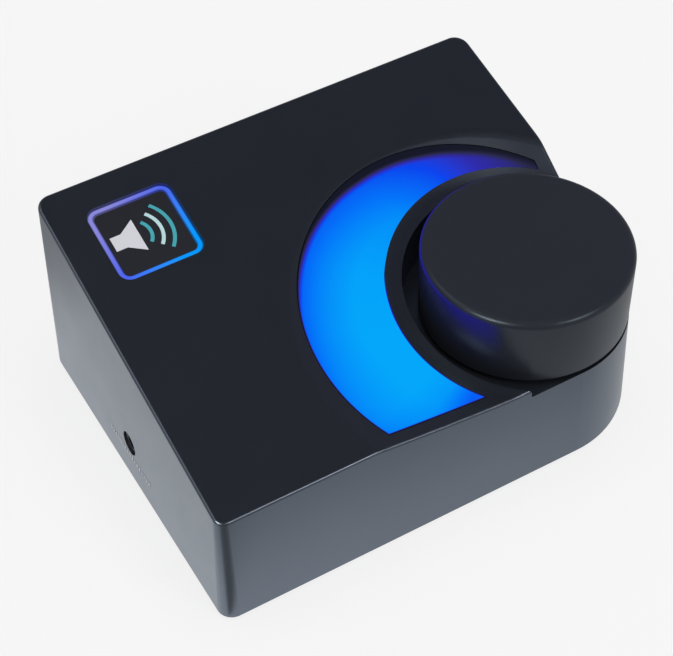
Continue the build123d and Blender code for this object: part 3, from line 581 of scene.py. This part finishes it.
def badge_middle():
    """Middle of the badge plate's top and the plate's normal."""
    low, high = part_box("badge_plate")
    plane = face_towards("badge_plate", (0, 0, 1), PLATE_DEPTH)
    return drop_on(plane, (low + high) / 2, (0, 0, 1)), plane[1]


def sheet_frame(origin, right, normal):
    """A frame on a surface: right along it, up along it, and out of it."""
    right = (Vector(right) - normal * normal.dot(Vector(right))).normalized()
    up = normal.cross(right)
    axes = Matrix((right, up, normal)).transposed().to_4x4()
    return Matrix.Translation(origin) @ axes


def print_marks(name, outlines, place, material):
    """Makes flat marks of the given outlines on a surface and lets them ride on the case."""
    thickness = bpy.context.scene.marks.thickness
    vertices = []
    faces = []
    for outline in outlines:
        first, count = len(vertices), len(outline)
        for height in (0.0, thickness):
            vertices += [place @ Vector((x, y, height)) for x, y in outline]
        above = first + count
        faces.append([above + number for number in range(count)])
        faces.append([first + number for number in reversed(range(count))])
        for number in range(count):
            after = (number + 1) % count
            faces.append([first + number, first + after, above + after, above + number])
    mesh = bpy.data.meshes.new(name)
    mesh.from_pydata(vertices, [], faces)
    mesh.materials.append(material)
    piece = bpy.data.objects.new(name, mesh)
    bpy.context.scene.collection.objects.link(piece)
    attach(piece, CASE)


def arc_outline(radius):
    """Outline of one of the symbol's arcs, which bend round the right, in eighths of its height."""
    angles = [radians(ARC_HALF_ANGLE * (2 * step / ARC_STEPS - 1)) for step in range(ARC_STEPS + 1)]
    wide, narrow = radius + ARC_HALF_WIDTH, radius - ARC_HALF_WIDTH
    outer = [(ARC_CENTRE + wide * cos(angle), wide * sin(angle)) for angle in angles]
    inner = [(ARC_CENTRE + narrow * cos(angle), narrow * sin(angle)) for angle in angles]
    return outer + inner[::-1]


# ---- operators ----


class CONTROLLER_OT_housing(bpy.types.Operator):
    """Lacquers the top housing"""

    bl_idname = "controller.housing"
    bl_label = "Housing"

    def execute(self, context):
        dress(shell_lacquer(), "top_housing")
        return {"FINISHED"}


class CONTROLLER_OT_underside(bpy.types.Operator):
    """Finishes the bottom cover and the feet"""

    bl_idname = "controller.underside"
    bl_label = "Underside"

    def execute(self, context):
        colour = context.scene.case_finish.cover
        coarse = {"change": 0.15, "grain_scale": 1800.0, "grain_depth": 0.00005}
        dress(plain_finish("cover_moulding", colour, 0.6, **coarse), "bottom_cover")
        dull = {"change": 0.2, "grain_scale": 1200.0, "grain_depth": 0.00004}
        dress(plain_finish("foot_rubber", (0.012, 0.012, 0.013), 0.8, **dull), "rubber_feet")
        return {"FINISHED"}


class CONTROLLER_OT_knob(bpy.types.Operator):
    """Finishes the knob and its insert"""

    bl_idname = "controller.knob"
    bl_label = "Knob"

    def execute(self, context):
        dress(knob_satin(), "knob_cap")
        dress(plain_finish("insert_moulding", (0.03, 0.03, 0.033), 0.55), "knob_insert")
        return {"FINISHED"}


class CONTROLLER_OT_lights(bpy.types.Operator):
    """Lights the crescent and the badge frame"""

    bl_idname = "controller.lights"
    bl_label = "Lights"

    def execute(self, context):
        dress(crescent_glow(), "crescent_lens")
        dress(badge_glow(), "badge_light_guide")
        dress(plain_finish("badge_plate_dark", (0.017, 0.018, 0.024), 0.4, change=0.05), "badge_plate")
        dress(lit_white(), "crescent_leds", "badge_leds")
        dress(plain_finish("reflector_white", (0.8, 0.81, 0.83), 0.6), "light_box")
        return {"FINISHED"}


class CONTROLLER_OT_sockets(bpy.types.Operator):
    """Finishes the rear panel and all sockets"""

    bl_idname = "controller.sockets"
    bl_label = "Sockets"

    def execute(self, context):
        powder = {"grain_scale": 2200.0, "grain_depth": 0.00003}
        dress(plain_finish("panel_coat", context.scene.case_finish.panel, 0.5, **powder), "rear_panel")
        jacks = [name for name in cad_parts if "_jack_" in name or name == "side_jack"]
        dress(plain_finish("jack_moulding", (0.012, 0.012, 0.014), 0.5), *jacks)
        nickel = brushed("nickel", (0.55, 0.54, 0.52), 0.28)
        dress(nickel, "jack_nuts", "encoder_nut", "encoder_bushing")
        dress(brushed("inlet_steel", (0.42, 0.42, 0.44), 0.35), "power_inlet_shell")
        gold = plain_finish("contact_gold", (0.62, 0.42, 0.14), 0.35, metallic=1.0)
        dress(gold, "power_inlet_tongue")
        return {"FINISHED"}


class CONTROLLER_OT_button(bpy.types.Operator):
    """Finishes the pairing button and its switch"""

    bl_idname = "controller.button"
    bl_label = "Pairing button"

    def execute(self, context):
        dress(plain_finish("button_moulding", (0.035, 0.036, 0.04), 0.35), "pair_button")
        dress(plain_finish("switch_moulding", (0.02, 0.02, 0.022), 0.5), "pair_switch_case")
        dress(plain_finish("plunger_moulding", (0.35, 0.33, 0.28), 0.5), "pair_switch_plunger")
        return {"FINISHED"}


class CONTROLLER_OT_boards(bpy.types.Operator):
    """Finishes the boards and what is soldered to them"""

    bl_idname = "controller.boards"
    bl_label = "Boards"

    def execute(self, context):
        dress(board_green(), "main_board", "control_board", "badge_board", "wireless_module")
        epoxy = plain_finish("epoxy_black", (0.014, 0.014, 0.016), 0.45)
        dress(epoxy, "main_board_chips", "board_link_header", "badge_lead_header", "encoder_rotor")
        aluminium = brushed("can_aluminium", (0.6, 0.6, 0.62), 0.35)
        dress(aluminium, "capacitors", "wireless_shield", "encoder_case")
        dress(plain_finish("ribbon_grey", (0.3, 0.3, 0.32), 0.55), "badge_lead")
        return {"FINISHED"}


class CONTROLLER_OT_hardware(bpy.types.Operator):
    """Finishes the screws, the washer and the shaft"""

    bl_idname = "controller.hardware"
    bl_label = "Hardware"

    def execute(self, context):
        screws = [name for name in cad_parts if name.endswith("_screws")]
        dress(brushed("black_zinc", (0.10, 0.10, 0.11), 0.4), *screws)
        dress(brushed("bright_steel", (0.5, 0.5, 0.52), 0.3), "encoder_washer", "encoder_shaft")
        return {"FINISHED"}


class CONTROLLER_OT_badge_symbol(bpy.types.Operator):
    """Prints a plain loudspeaker symbol on the badge plate"""

    bl_idname = "controller.badge_symbol"
    bl_label = "Badge symbol"

    def execute(self, context):
        marks = context.scene.marks
        middle, normal = badge_middle()
        place = sheet_frame(middle, (1, 0, 0), normal)
        unit = marks.symbol_height / 8
        teal_arcs = [arc_outline(radius) for radius in TEAL_ARC_RADII]
        for name, outlines, ink, colour in (
            ("badge_speaker", [SPEAKER_OUTLINE], "print_grey", marks.print),
            ("badge_arcs_teal", teal_arcs, "print_teal", marks.teal),
            ("badge_arc_ice", [arc_outline(ICE_ARC_RADIUS)], "print_ice", marks.ice),
        ):
            outlines = [[(x * unit, y * unit) for x, y in outline] for outline in outlines]
            print_marks(name, outlines, place, printed(ink, colour))
        return {"FINISHED"}


class CONTROLLER_OT_side_scale(bpy.types.Operator):
    """Prints a row of plain ticks under the side socket"""

    bl_idname = "controller.side_scale"
    bl_label = "Side scale"

    def execute(self, context):
        marks = context.scene.marks
        low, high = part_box("side_jack")
        plane = face_towards("top_housing", (-1, 0, 0), SIDE_WALL_DEPTH)
        beneath = (low + high) / 2 - Vector((0.0, 0.0, SCALE_DROP))
        place = sheet_frame(drop_on(plane, beneath, (1, 0, 0)), (0, -1, 0), plane[1])
        pitch = marks.scale_length / (TICK_COUNT - 1)
        outlines = []
        for number in range(TICK_COUNT):
            middle = (number - (TICK_COUNT - 1) / 2) * pitch
            left, right = middle - TICK_HALF_WIDTH, middle + TICK_HALF_WIDTH
            top = SHORT_TICK_HALF if number % TICK_GROUP else LONG_TICK_HALF
            outlines.append([(left, -top), (right, -top), (right, top), (left, top)])
        print_marks("side_scale", outlines, place, printed("print_side", marks.print))
        return {"FINISHED"}


class CONTROLLER_OT_socket_arrows(bpy.types.Operator):
    """Prints an arrow over each rear socket: down for an input, up for an output"""

    bl_idname = "controller.socket_arrows"
    bl_label = "Socket arrows"

    def execute(self, context):
        marks = context.scene.marks
        centre, normal = face_towards("rear_panel", (0, 1, 0), PANEL_DEPTH)
        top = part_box("rear_panel")[1].z
        size = marks.arrow_size
        below_top = 1.1 * size
        middle = Vector((0.0, centre.y, top - below_top))
        outlines = []
        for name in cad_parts:
            if "_jack_" not in name:
                continue
            low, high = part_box(name)
            x = -(low.x + high.x) / 2
            tip = size / 2 if name.startswith("output") else -size / 2
            triangle = [(x - size / 2, -tip), (x + size / 2, -tip), (x, tip)]
            outlines.append(triangle if tip > 0 else triangle[::-1])
        place = sheet_frame(middle, (-1, 0, 0), normal)
        print_marks("socket_arrows", outlines, place, printed("print_rear", marks.print))
        return {"FINISHED"}


class CONTROLLER_OT_stage(bpy.types.Operator):
    """Sets up the floor, the room, the lamps and the camera"""

    bl_idname = "controller.stage"
    bl_label = "Stage"

    def execute(self, context):
        context.scene.view_settings.view_transform = "Standard"
        make_floor(context.scene.stage)
        make_room(context.scene)
        make_lamps(context.scene.stage)
        make_camera(context.scene)
        return {"FINISHED"}


def make_floor(stage):
    """A pale floor: the camera sees mostly its colour, gloss a painted pool of light; it keeps the
    shadows.
    """
    half = stage.floor_size / 2
    mesh = bpy.data.meshes.new("floor")
    corners = [(-half, -half, 0), (half, -half, 0), (half, half, 0), (-half, half, 0)]
    mesh.from_pydata(corners, [], [(0, 1, 2, 3)])
    floor = bpy.data.objects.new("floor", mesh)
    bpy.context.scene.collection.objects.link(floor)
    material = bpy.data.materials.new("floor_paint")
    material.use_nodes = True
    tree = Tree(material.node_tree)
    rays = tree.node("ShaderNodeLightPath")
    glossy = rays.value("Is Glossy Ray")
    seen = rays.value("Is Camera Ray") + glossy + rays.value("Is Transmission Ray")
    glow = tree.blend(glossy, tuple(stage.floor), floor_glow(tree, stage))
    paint = tree.node("ShaderNodeBsdfDiffuse", None, {"Color": stage.floor})
    light = tree.node("ShaderNodeEmission", None, {"Color": glow, "Strength": 1.0})
    factor = seen * (1.0 - stage.shadow_share)
    both = {0: factor, 1: paint.socket(0), 2: light.socket(0)}
    mixed = tree.node("ShaderNodeMixShader", None, both)
    tree.node("ShaderNodeOutputMaterial", None, {0: mixed.socket(0)})
    mesh.materials.append(material)


def floor_glow(tree, stage):
    """The floor as gloss shows it: a pool of light round the part, dimmer right and in one gap."""
    x, y, _ = tree.axes()
    low, high = CAD_BOX
    beside = (x.absolute() - high[0]).at_least(0.0)
    ahead = (y.absolute() - high[1]).at_least(0.0)
    apart = (beside * beside + ahead * ahead) ** 0.5
    faded = tree.span(apart, 0.0, stage.glow_reach, "SMOOTHSTEP")
    pool = faded * (stage.glow_far - stage.glow_near) + stage.glow_near
    rightward = tree.span(x, GLOW_START * low[0], high[0])
    pool = pool * (rightward * (stage.glow_right - stage.glow_left) + stage.glow_left)
    heading = radians(stage.gap_heading)
    outward = (x - low[0]) * cos(heading) + (y - low[1]) * sin(heading)
    aside = (y - low[1]) * cos(heading) - (x - low[0]) * sin(heading)
    off_course = aside.turned_from(outward).absolute()
    width = radians(stage.gap_width)
    clear = tree.span(off_course, GAP_CORE * width, width, "SMOOTHSTEP")
    pool = pool * (clear * (1.0 - stage.gap_share) + stage.gap_share)
    channels = {number: pool * share for number, share in enumerate(stage.glow_tint)}
    return tree.node("ShaderNodeCombineXYZ", None, channels).socket(0)


def make_room(scene):
    """A room with even light for matt surfaces, which in gloss is brightest near the floor."""
    stage = scene.stage
    scene.world = bpy.data.worlds.new("room")
    scene.world.use_nodes = True
    tree = Tree(scene.world.node_tree)
    direction = tree.node("ShaderNodeTexCoord").socket("Generated")
    height = tree.node("ShaderNodeSeparateXYZ", None, {0: direction}).value(2)
    stops = (
        (HORIZON_HEIGHT, (stage.horizon,) * 3),
        (WALL_HEIGHT, stage.walls),
        (CEILING_HEIGHT, stage.ceiling),
    )
    rays = tree.node("ShaderNodeLightPath")
    backdrop = tree.blend(rays.value("Is Camera Ray"), (stage.ambient,) * 3, tuple(stage.floor))
    mirrored = tree.ramp(height, stops, "EASE").socket(0)
    colour = tree.blend(rays.value("Is Glossy Ray"), backdrop, mirrored)
    light = tree.node("ShaderNodeBackground", None, {"Color": colour, "Strength": 1.0})
    tree.node("ShaderNodeOutputWorld", None, {0: light.socket(0)})


def make_lamps(stage):
    """Soft lamps, which stand clear of the directions that the sloped top mirrors."""
    for name, power, place, size, on_matt, in_gloss in LAMPS:
        lamp = bpy.data.lights.new(name, "AREA")
        lamp.size = size
        lamp.energy = getattr(stage, power)
        holder = bpy.data.objects.new(name, lamp)
        holder.location = place
        holder.rotation_mode = "QUATERNION"
        holder.rotation_quaternion = (-Vector(place)).to_track_quat("-Z", "Y")
        holder.visible_diffuse = on_matt
        holder.visible_glossy = in_gloss
        bpy.context.scene.collection.objects.link(holder)


def make_camera(scene):
    """A long lens that looks down at the part from its left front."""
    stage = scene.stage
    turn, rise, roll = radians(stage.azimuth), radians(stage.elevation), radians(stage.roll)
    back = Vector((sin(turn) * cos(rise), -cos(turn) * cos(rise), sin(rise)))
    level = (-back).cross(Vector((0, 0, 1))).normalized()
    upright = level.cross(-back)
    right = cos(roll) * level + sin(roll) * upright
    up = cos(roll) * upright - sin(roll) * level
    place = back * stage.distance + right * stage.aim_right + up * stage.aim_up
    place.z += stage.aim_height
    data = bpy.data.cameras.new("camera")
    data.sensor_width = SENSOR_WIDTH
    data.lens = SENSOR_WIDTH * stage.focal_pixels / IMAGE_WIDTH
    data.shift_x, data.shift_y = stage.shift_right, stage.shift_up
    data.clip_start, data.clip_end = 0.01, 20.0
    camera = bpy.data.objects.new("camera", data)
    camera.matrix_world = Matrix.Translation(place) @ Matrix((right, up, back)).transposed().to_4x4()
    scene.collection.objects.link(camera)
    scene.camera = camera


class CONTROLLER_PT_panel(bpy.types.Panel):
    """Lists the controller's settings and operators"""

    bl_idname = "CONTROLLER_PT_panel"
    bl_label = "Volume controller"
    bl_space_type = "VIEW_3D"
    bl_region_type = "UI"
    bl_category = "Controller"

    def draw(self, context):
        for name, group in SETTINGS:
            box = self.layout.box()
            box.label(text=group.bl_rna.name)
            for key in group.__annotations__:
                box.prop(getattr(context.scene, name), key)
        for operator in OPERATORS:
            self.layout.operator(operator.bl_idname)


SETTINGS = (
    ("case_finish", CaseFinishSettings),
    ("lights", LightSettings),
    ("marks", MarkSettings),
    ("stage", StageSettings),
)
OPERATORS = (
    CONTROLLER_OT_housing,
    CONTROLLER_OT_underside,
    CONTROLLER_OT_knob,
    CONTROLLER_OT_lights,
    CONTROLLER_OT_sockets,
    CONTROLLER_OT_button,
    CONTROLLER_OT_boards,
    CONTROLLER_OT_hardware,
    CONTROLLER_OT_badge_symbol,
    CONTROLLER_OT_side_scale,
    CONTROLLER_OT_socket_arrows,
    CONTROLLER_OT_stage,
)


def register():
    """Registers the settings, the operators and the panel."""
    for name, group in SETTINGS:
        bpy.utils.register_class(group)
        setattr(bpy.types.Scene, name, PointerProperty(type=group))
    for item in (*OPERATORS, CONTROLLER_PT_panel):
        bpy.utils.register_class(item)


def unregister():
    """Takes back what register adds."""
    for item in (CONTROLLER_PT_panel, *reversed(OPERATORS)):
        bpy.utils.unregister_class(item)
    for name, group in reversed(SETTINGS):
        delattr(bpy.types.Scene, name)
        bpy.utils.unregister_class(group)


def main():
    """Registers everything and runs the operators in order."""
    register()
    for operator in OPERATORS:
        family, name = operator.bl_idname.split(".")
        getattr(getattr(bpy.ops, family), name)()


if __name__ == "__main__":
    main()
